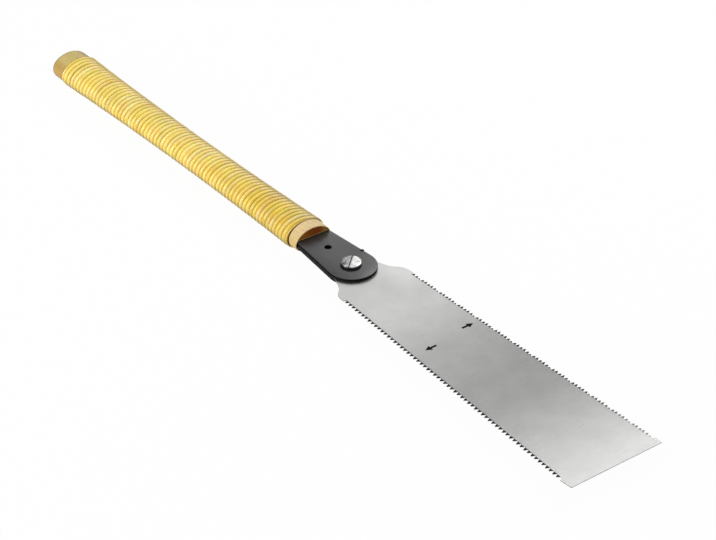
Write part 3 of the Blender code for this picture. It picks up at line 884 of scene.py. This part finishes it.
def plate_back(shoulder_x):
    """One side of the plates behind their round front: taper, shoulder at the mouth, stem and tongue."""
    taper = (shoulder_x - PLATE_FRONT_X) * tan(PLATE_TAPER)
    return [
        (shoulder_x, PLATE_FRONT_RADIUS / cos(PLATE_TAPER) + taper),
        (shoulder_x, STEM_HALF_WIDTH),
        (TONGUE_X, STEM_HALF_WIDTH),
        (TONGUE_X, TONGUE_HALF_WIDTH),
        (TONGUE_END_X, TONGUE_HALF_WIDTH),
    ]


def plate_outline():
    turn = pi / 2 + PLATE_TAPER
    front = arc(PLATE_FRONT_X, PLATE_FRONT_RADIUS, -turn, turn, PLATE_FRONT_STEPS)
    near = [(x, -y) for x, y in reversed(plate_back(NEAR_SHOULDER_X))]
    return front + plate_back(FAR_SHOULDER_X) + near


def drill(x, y, radius):
    tool = loose("drill", turned([(radius, -DRILL_REACH), (radius, DRILL_REACH)], HOLE_SIDES))
    tool.location = (x, y, 0)
    return tool


def countersink(x, radius, depth, surface):
    """A cone that breaks a hole's edge on an upper or lower surface."""
    outward = copysign(depth, surface)
    profile = [(radius - depth, surface - 2 * outward), (radius + 2 * depth, surface + outward)]
    tool = loose("countersink", turned(profile, HOLE_SIDES))
    tool.location = (x, 0, 0)
    return tool


def plate_finish(face):
    """Numbers of the plates' looks: flat faces, upright edges and the rubbed roundings between them."""
    rise = abs(face.normal.z)
    return 0 if rise > 0.96 else 2 if rise > 0.35 else 1


def make_plates():
    looks = [
        black_look("satin black steel", (0.016, 0.016, 0.0165), roughness=0.32, specular=0.9, shadow_ring=True),
        black_look("black sheared edge", (0.008, 0.008, 0.009), roughness=0.6, specular=0.0),
        black_look("rubbed black edge", (0.028, 0.028, 0.028), roughness=0.42, specular=0.42),
    ]
    heights = {
        "holder_top_plate": (PLATE_FACE, PLATE_BACK),
        "holder_bottom_plate": (-PLATE_BACK, -PLATE_FACE),
    }
    for node, (bottom, top) in heights.items():
        plate = loose(node.replace("holder", "dressed"), prism(plate_outline(), bottom, top))
        rounded(plate, PLATE_ROUNDING)
        outside = top if top > 0 else bottom
        tools = [
            drill(SCREW_X, 0, SHANK_RADIUS + FIT_GAP),
            drill(INDEX_HOLE_X, 0, INDEX_HOLE_RADIUS),
            drill(STUD_X, STUD_Y, STUD_RADIUS + FIT_GAP),
            countersink(INDEX_HOLE_X, INDEX_HOLE_RADIUS, INDEX_HOLE_EDGE, outside),
            *(drill(x, 0, PIN_RADIUS + FIT_GAP) for x in PIN_PLACES),
        ]
        carve(plate, tools)
        paint(plate, plate_finish)
        dress(plate, ON_AXIS, "handle", looks, [node])


def make_stud():
    profile = [(STUD_RADIUS - STUD_CHAMFER, -PLATE_BACK), (STUD_RADIUS, -PLATE_BACK + STUD_CHAMFER)]
    profile += [(STUD_RADIUS * share, PLATE_BACK + STUD_RISE - drop) for share, drop in STUD_DOME]
    stud = loose("stop_stud", turned(profile, STUD_SIDES))
    place = Matrix.Translation((STUD_X, STUD_Y, AXIS_Z))
    black = black_look("stud black", (0.01, 0.01, 0.011), roughness=0.5, specular=0.05)
    dress(stud, place, "handle", [black], ["edge_stud"])


def finish_hidden():
    """The shim and the pins keep their solids, with a look of bare steel."""
    steel = metal_look("bare steel", dark=(0.3, 0.3, 0.3), pale=(0.5, 0.5, 0.49), roughness=0.35)
    for name in ("holder_spacer", "tang_pin_front", "tang_pin_rear"):
        materials = NODES[name].data.materials
        materials.clear()
        materials.append(steel.material)


def thread_rings(bottom, top):
    """Rings of a shank with a right-hand thread of the coupling's pitch, and a tapered start."""
    rings = []
    count = round((top - bottom) / THREAD_PITCH * THREAD_STEPS)
    for i in range(count + 1):
        z = bottom + (top - bottom) * i / count
        lead = THREAD_START - (z - bottom)
        ring = []
        for k, (x, y, _) in enumerate(circle(1.0, z, SCREW_SIDES)):
            phase = (z / THREAD_PITCH - k / SCREW_SIDES) % 1.0
            groove = THREAD_DEPTH * min(1.0, abs(2 * phase - 1) * THREAD_FLANK)
            radius = SHANK_RADIUS - max(groove, lead)
            ring.append((radius * x, radius * y, z))
        rings.append(ring)
    return rings


def make_screw():
    shoulder = HEAD_TOP - HEAD_CROWN
    profile = [
        (HEAD_RADIUS - HEAD_CHAMFER, HEAD_BOTTOM),
        (HEAD_RADIUS, HEAD_BOTTOM + HEAD_CHAMFER),
        *((HEAD_RADIUS - inset, shoulder - drop) for inset, drop in quarter(HEAD_EDGE, RIM_STEPS)),
        *(((HEAD_RADIUS - HEAD_EDGE) * s, HEAD_TOP - HEAD_CROWN * s**2) for s in CROWN_SHARES),
    ]
    head = [circle(radius, z, SCREW_SIDES) for radius, z in profile]
    screw = loose("slotted_screw", skin(thread_rings(SHANK_END, HEAD_BOTTOM) + head))
    half, along = DRIVER_SLOT_WIDTH / 2, 2 * HEAD_RADIUS
    bar = [(-along, -half), (along, -half), (along, half), (-along, half)]
    floor = HEAD_TOP - DRIVER_SLOT_DEPTH
    groove = loose("driver_groove", prism(bar, floor, HEAD_TOP + DRIVER_SLOT_DEPTH))
    groove.rotation_euler.z = DRIVER_SLOT_ANGLE
    carve(screw, [groove])

    def in_slot(face):
        is_deep = floor - DRIVER_SLOT_MARGIN < face.center.z < shoulder
        across = face.center.y * cos(DRIVER_SLOT_ANGLE) - face.center.x * sin(DRIVER_SLOT_ANGLE)
        return 1 if is_deep and abs(across) <= half + DRIVER_SLOT_MARGIN else 0

    paint(screw, in_slot)
    dress(screw, ON_SCREW, "screw", [nickel_look(), slot_look()], ["clamp_screw"])


def make_fittings():
    """The washer under the screw's head, and the nut below the plates."""
    dark = metal_look("dark steel", dark=(0.02, 0.02, 0.02), pale=(0.06, 0.06, 0.058), roughness=0.42)
    bore, rim, edge = SHANK_RADIUS + FIT_GAP, WASHER_RADIUS, WASHER_EDGE
    low, high = WASHER_BOTTOM, WASHER_BOTTOM + WASHER_THICKNESS
    ring = [(bore, low + edge), (bore + edge, low), (rim - edge, low), (rim, low + edge)]
    ring += [(radius, low + high - z) for radius, z in reversed(ring)]
    washer = loose("flat_washer", turned(ring, HOLE_SIDES, closed=True))
    dress(washer, ON_SCREW, "washer", [dark], ["screw_washer"])

    nut = loose("hex_nut", turned([(NUT_RADIUS, NUT_BOTTOM), (NUT_RADIUS, NUT_TOP)], NUT_SIDES))
    inner, outer, rise = (NUT_RADIUS * share for share in NUT_CHAMFER)
    lens = [(inner, NUT_BOTTOM), (outer, NUT_BOTTOM + rise), (outer, NUT_TOP - rise), (inner, NUT_TOP)]
    carve(nut, [loose("nut_chamfer", turned(lens, HOLE_SIDES))], "INTERSECT")
    carve(nut, [drill(0, 0, bore)])
    dress(nut, ON_SCREW, "handle", [dark], ["clamp_nut"])


def wrap_axes(along):
    """Half width and half height of the wrapped handle, which is narrowest at its waist."""
    reach = (along - WAIST) / FLARE_REACH
    return [waist + flare * reach**2 for waist, flare in zip(WAIST_AXES, FLARE)]


def skew(y):
    """How far back the collar's cut lies at a place across it."""
    return MOUTH_SKEW * (MOUTH_PIVOT - y)


def askew(ring, share=1.0):
    """A ring along the collar's cut, with a share of the rim's run back below the holder's top."""
    return [(x - skew(y) - share * MOUTH_UNDERCUT * max(0, PLATE_BACK - z), y, z) for x, y, z in ring]


def make_core():
    corner = quarter(BUTT_ROUNDING, BUTT_STEPS)
    rings = [oval(BUTT_TRIM - HANDLE_LENGTH + back, BUTT_AXES, inset) for back, inset in corner]
    shoulder, front = WRAP_REAR - FIT_GAP, -COLLAR_LENGTH - FIT_GAP
    rings.append(oval(shoulder, BUTT_AXES))
    for i in range(CORE_STEPS + 1):
        x = shoulder + (front - shoulder) * i / CORE_STEPS
        rings.append(oval(x, wrap_axes(x), CORE_RELIEF))
    # Its last ring under the wrap and its first under the collar follow the collar's cut.
    rings.append(askew(rings.pop(), 0))
    rings.append(askew(oval(front, COLLAR_BORE, FIT_GAP), 0))
    rings.append(oval(CORE_FRONT, COLLAR_BORE, FIT_GAP))
    core = loose("wooden_core", skin(rings))
    wide, high = TONGUE_HALF_WIDTH + FIT_GAP, PLATE_BACK + FIT_GAP
    end = TONGUE_END_X - FIT_GAP
    mouth = [(end, -wide), (MOUTH_X, -wide), (MOUTH_X, wide), (end, wide)]
    tools = [loose("mortise", prism(mouth, -high, high))]
    tools += [drill(x, 0, PIN_RADIUS + FIT_GAP) for x in PIN_PLACES]
    for tool in tools:
        tool.matrix_world = ON_HANDLE.inverted() @ ON_AXIS @ Matrix.Translation(tool.location)
    carve(core, tools)
    dress(core, ON_HANDLE, "handle", [core_look()], ["handle_core"])


def collar_axes(share):
    """The collar's section from its rear, at 0, to its mouth, at 1: it narrows faster towards the mouth."""
    ends = zip(COLLAR_REAR_AXES, COLLAR_FRONT_AXES)
    return [rear + (front - rear) * share**2 for rear, front in ends]


def make_collar():
    rings = [
        askew(oval(-COLLAR_LENGTH, COLLAR_BORE), 0),
        askew(oval(-COLLAR_LENGTH, COLLAR_REAR_AXES, COLLAR_CHAMFER), 0),
    ]
    length = COLLAR_LENGTH - COLLAR_CHAMFER - COLLAR_EDGE
    for i in range(COLLAR_STEPS + 1):
        x = COLLAR_CHAMFER - COLLAR_LENGTH + length * i / COLLAR_STEPS
        share = 1 + x / COLLAR_LENGTH
        rings.append(askew(oval(x, collar_axes(share)), share))
    for inset, back in quarter(COLLAR_EDGE, RIM_STEPS)[1:]:
        rings.append(askew(oval(-back, COLLAR_FRONT_AXES, inset)))
    rings.append(askew(oval(0, COLLAR_BORE, -COLLAR_CHAMFER)))
    rings.append(askew(oval(-COLLAR_CHAMFER, COLLAR_BORE)))
    collar = loose("wooden_collar", skin(rings, closed=True))
    dress(collar, ON_HANDLE, "handle", [collar_look()], ["front_collar"])


def plug_rings(reach):
    """Rings of a plug that fills the collar's bore from the plates up, or down for a negative reach."""
    half_width = COLLAR_BORE[0] - PLUG_FIT
    low = PLATE_BACK + FIT_GAP
    start = asin(low / abs(reach))
    turns = [start + (pi - 2 * start) * i / PLUG_STEPS for i in range(PLUG_STEPS + 1)]
    section = [(half_width * cos(t), reach * sin(t)) for t in turns]
    middle = (copysign(low, reach) + reach) / 2

    def ring(back, inset):
        share = 1 - inset / abs(reach)
        return [(-PLUG_RECESS - back, y * share, middle + (z - middle) * share) for y, z in section]

    front = [askew(ring(PLUG_EDGE * back, PLUG_EDGE * inset)) for back, inset in PLUG_ROUNDING]
    return [*front, ring(PLUG_LENGTH, 0)]


def make_plugs():
    brown = plug_look()
    _, half_height, half_depth = (axis - PLUG_FIT for axis in COLLAR_BORE)
    for name, reach in (("mouth_plug_top", half_height), ("mouth_plug_bottom", -half_depth)):
        plug = loose(name.replace("mouth", "dressed"), skin(plug_rings(reach)))
        dress(plug, ON_HANDLE, "handle", [brown], [name])


def smooth_noise(count, turns, rng):
    """A random curve along the strand's points, with a new value every so many turns."""
    spacing = turns * WRAP_POINTS
    knots = rng.random(int(count / spacing) + 3)
    places = np.arange(count) / spacing
    left = places.astype(int)
    share = places - left
    share = share * share * (3 - 2 * share)
    return knots[left] * (1 - share) + knots[left + 1] * share


def cane_tints(places, rng):
    """The strand's colour at places along the handle."""
    count = len(places)
    forward = np.clip((places - GOLDEN_FROM) / GOLDEN_RUN, 0, 1)[:, None]
    tint = STRAW + (GOLDEN_STRAW - STRAW) * forward
    for colour, strength, turns in STRETCHES.values():
        above = smooth_noise(count, turns, rng) - STRETCH_FROM
        share = np.clip(above * STRETCH_GAIN, 0, 1) * strength
        tint += (np.array(colour) * (1 - 0.12 * forward) - tint) * share[:, None]
    return tint * (0.92 + 0.14 * smooth_noise(count, LEVEL_TURNS, rng))[:, None]


def cane_section(width):
    """Half-round section: distance along the handle, height over the strand's back, and both as shares."""
    turns = [pi * i / (CROWN_POINTS - 1) for i in range(CROWN_POINTS)]
    flank = CANE_FLANK / CANE_THICKNESS
    crown = [(cos(t), flank + (1 - flank) * sin(t) ** CROWN_POWER) for t in turns]
    section = [(CANE_BACK_SHARE, 0.0), *crown, (-CANE_BACK_SHARE, 0.0)]
    return [(width / 2 * side, rise * CANE_THICKNESS, side, rise) for side, rise in section]


def rise_between(value, low, high):
    """A share that climbs from 0 at one value to 1 at another."""
    return min(1.0, max(0.0, (value - low) / (high - low)))


def cane_shade(turn, side, rise, groove):
    """How painted shade and a painted highlight change the strand's colour, at a turn and a place on its
    section.

    Painted shade lies in the grooves and on each turn's front flank, most on the far side, where it also
    yellows the colour, and in a band along the handle's two edges as the camera sees them. The far side is
    painted brighter and the near side a little darker. A painted highlight makes a strip between the edges
    pale.
    """
    past = degrees((turn - LEAST_SHADED_SIDE + pi) % (2 * pi) - pi)
    far = rise_between(-past, -90, 90) ** 1.5
    inside = past - FAR_EDGE if past < 0 else NEAR_EDGE - past
    # Painted shade in a band along the handle's two edges as the camera sees them
    edge_shade_band = (1 - rise_between(abs(inside), *EDGE_SHADE_REACH)) * (1 - 0.35 * far)
    # A painted highlight on a strip between the edges
    wear_and_highlight = 1 - rise_between(abs(past - HIGHLIGHT_PLACE), 0, HIGHLIGHT_REACH)
    # Painted shade on each turn's front flank and in its grooves, deepest on the far side
    flank = max(0.0, side) ** 2 * (0.02 + 0.55 * far)
    depth = (1 - rise) * (1 - groove) * (0.18 + 1.2 * far)
    # Painted light and shade: the far side brighter and the near side a little darker
    level = (1.08 + 0.1 * far) * (1 - flank) * (1 - 0.1 * rise_between(past, *NEAR_SHADE))
    flank_and_groove_shaded = level * (1 - GROOVE_SHADE_TAKES * depth) * (1 - SHADE_TINT_TAKES * (flank + depth + 2.1 * far))
    return flank_and_groove_shaded * (1 - EDGE_SHADE_TAKES * edge_shade_band) * (1 + HIGHLIGHT_ADDS * wear_and_highlight)


def make_wrap():
    """One strand, whose first and last turns taper to a point, to close against collar and butt."""
    rng = np.random.default_rng(SEED)
    taper = (CANE_WIDTH - CANE_TIP) / WRAP_PITCH
    count = round((WRAP_TURNS + 2 * taper) * WRAP_POINTS)
    turns = np.linspace(-taper, WRAP_TURNS + taper, count)
    fronts = np.minimum(WRAP_FRONT - WRAP_PITCH * turns, WRAP_FRONT)
    rears = np.maximum(WRAP_FRONT - WRAP_PITCH * turns - CANE_WIDTH, WRAP_REAR)
    middles = (fronts + rears) / 2
    tints = cane_tints(middles, rng)
    sway = (smooth_noise(count, CANE_SWAY_TURNS, rng) - 0.5) * CANE_SWAY
    sink = smooth_noise(count, CANE_SINK_TURNS, rng) * CANE_SINK
    narrow = smooth_noise(count, CANE_NARROWING_TURNS, rng) ** 4 * CANE_NARROWING
    # How light the painted shade in each turn's grooves is, changing along the strand
    groove = 0.5 + 0.4 * smooth_noise(count, CANE_GROOVE_SHADE_TURNS, rng)
    rings, colours = [], []
    for i in range(count):
        fullness = (fronts[i] - rears[i]) / CANE_WIDTH
        ease = fullness**4
        half_width, half_height = wrap_axes(middles[i])
        bed = (half_width - CANE_THICKNESS, half_height * FLAT_SHARE - CANE_THICKNESS)
        turn = 2 * pi * turns[i]
        along = middles[i] + sway[i] * ease
        tilt = max(0, 1 - (WRAP_FRONT - middles[i]) / WRAP_SQUARE)
        width = (fronts[i] - rears[i]) * (1 - narrow[i] * ease)
        ring = []
        for offset, height, side, rise in cane_section(width):
            out = height * sqrt(fullness) - sink[i] * ease
            y, z = (bed[0] + out) * cos(turn), (bed[1] + out) * sin(turn)
            ring.append((along + offset - tilt * skew(y), y, z))
            colour = np.minimum(tints[i] * cane_shade(turn, side, rise, groove[i]), 1.0)
            colours.append((*colour, 1.0))
        rings.append(ring)
    wrap = loose("cane_strand", skin(rings))
    tint = wrap.data.attributes.new("tint", "FLOAT_COLOR", "POINT")
    tint.data.foreach_set("color", np.array(colours, dtype=np.float32).ravel())
    dress(wrap, ON_HANDLE, "handle", [cane_look()], ["cane_wrap"])


def make_arrows():
    """Plain arrows printed across the blade, one towards each edge."""
    ink = ink_look()
    neck = ARROW_LENGTH - ARROW_HEAD
    half = [(ARROW_SHAFT_HALF_WIDTH, 0), (ARROW_SHAFT_HALF_WIDTH, neck), (ARROW_HEAD_HALF_WIDTH, neck)]
    outline = [*half, (0, ARROW_LENGTH), *((-x, y) for x, y in reversed(half))]
    for name, (start, across, side) in ARROWS.items():
        points = [(start + x, across + side * y) for x, y in outline]
        arrow = loose(name, prism(points, HALF_THICKNESS, HALF_THICKNESS + INK_THICKNESS))
        dress(arrow, ON_BLADE, "blade", [ink], smooth=False)


def look_from(name, data, place, back, roll=0.0):
    """Adds a camera or lamp at a place, with its back to a direction."""
    item = bpy.data.objects.new(name, data)
    item.location = place
    item.rotation_mode = "QUATERNION"
    item.rotation_quaternion = back.to_track_quat("Z", "Y") @ Quaternion((0, 0, 1), roll)
    bpy.context.scene.collection.objects.link(item)
    return item


def make_camera():
    data = bpy.data.cameras.new("photo_camera")
    data.lens = FOCAL_MM
    data.sensor_width = SENSOR_MM
    level = cos(ELEVATION)
    back = Vector((sin(AZIMUTH) * level, -cos(AZIMUTH) * level, sin(ELEVATION)))
    bpy.context.scene.camera = look_from("photo_camera", data, AIM + back * DISTANCE, back, ROLL)


def make_lamp(name, towards, distance, size, power):
    """A soft square lamp that shines on the saw from a direction."""
    data = bpy.data.lights.new(name, "AREA")
    data.shape = "SQUARE"
    data.size = size
    data.energy = power
    direction = Vector(towards).normalized()
    look_from(name, data, direction * distance, direction)


def seen_rays(nodes):
    """1 for what the camera sees, straight on, mirrored or through glass, and 0 for light on the saw."""
    path = nodes.node("LightPath").outputs
    rays = path["Is Camera Ray"]
    for name in ("Is Glossy Ray", "Is Transmission Ray"):
        rays = nodes.calc("MAXIMUM", rays, path[name])
    return rays


def make_world():
    """A white room that is greyer on the butt's side, and plain even light on the saw."""
    world = bpy.data.worlds.new("studio")
    world.use_nodes = True
    bpy.context.scene.world = world
    nodes = Nodes(world.node_tree)
    nodes.tree.nodes.clear()
    place = nodes.node("TexCoord").outputs["Generated"]
    side = nodes.node("VectorMath", {0: place, 1: ROOM_DIRECTION}, operation="DOT_PRODUCT")
    grade = nodes.node("MapRange", {"Value": side.outputs["Value"], **ROOM_GRADE})
    seen = nodes.node("Background", {"Color": grade.outputs[0]})
    lit = nodes.node("Background", {"Strength": ROOM_LIGHT})
    mix = nodes.node("MixShader", {0: seen_rays(nodes), 1: lit.outputs[0], 2: seen.outputs[0]})
    nodes.node("OutputWorld", {"Surface": mix.outputs[0]})


def make_floor():
    """A white floor that keeps a faint shadow."""
    builder = bmesh.new()
    bmesh.ops.create_grid(builder, x_segments=1, y_segments=1, size=FLOOR_SIZE)
    floor = loose("floor", builder)
    floor.location.z = -FLOOR_DROP
    material = bpy.data.materials.new("white floor")
    material.use_nodes = True
    nodes = Nodes(material.node_tree)
    nodes.tree.nodes.clear()
    paper = nodes.node("BsdfDiffuse", {"Color": FLOOR_COLOUR})
    glow = nodes.node("Emission")
    share = nodes.calc("MULTIPLY", seen_rays(nodes), FLOOR_GLOW)
    mix = nodes.node("MixShader", {0: share, 1: paper.outputs[0], 2: glow.outputs[0]})
    nodes.node("OutputMaterial", {"Surface": mix.outputs[0]})
    floor.data.materials.append(material)


make_camera()
make_world()
make_floor()
make_lamp("key", towards=(-0.1, 0.72, 0.68), distance=1.5, size=0.8, power=11.0)
make_lamp("fill", towards=(-0.25, -0.88, 0.42), distance=1.8, size=1.2, power=26.0)
make_blade()
make_arrows()
make_plates()
make_stud()
finish_hidden()
make_screw()
make_fittings()
make_core()
make_collar()
make_plugs()
make_wrap()
bpy.context.scene.view_settings.view_transform = "Standard"
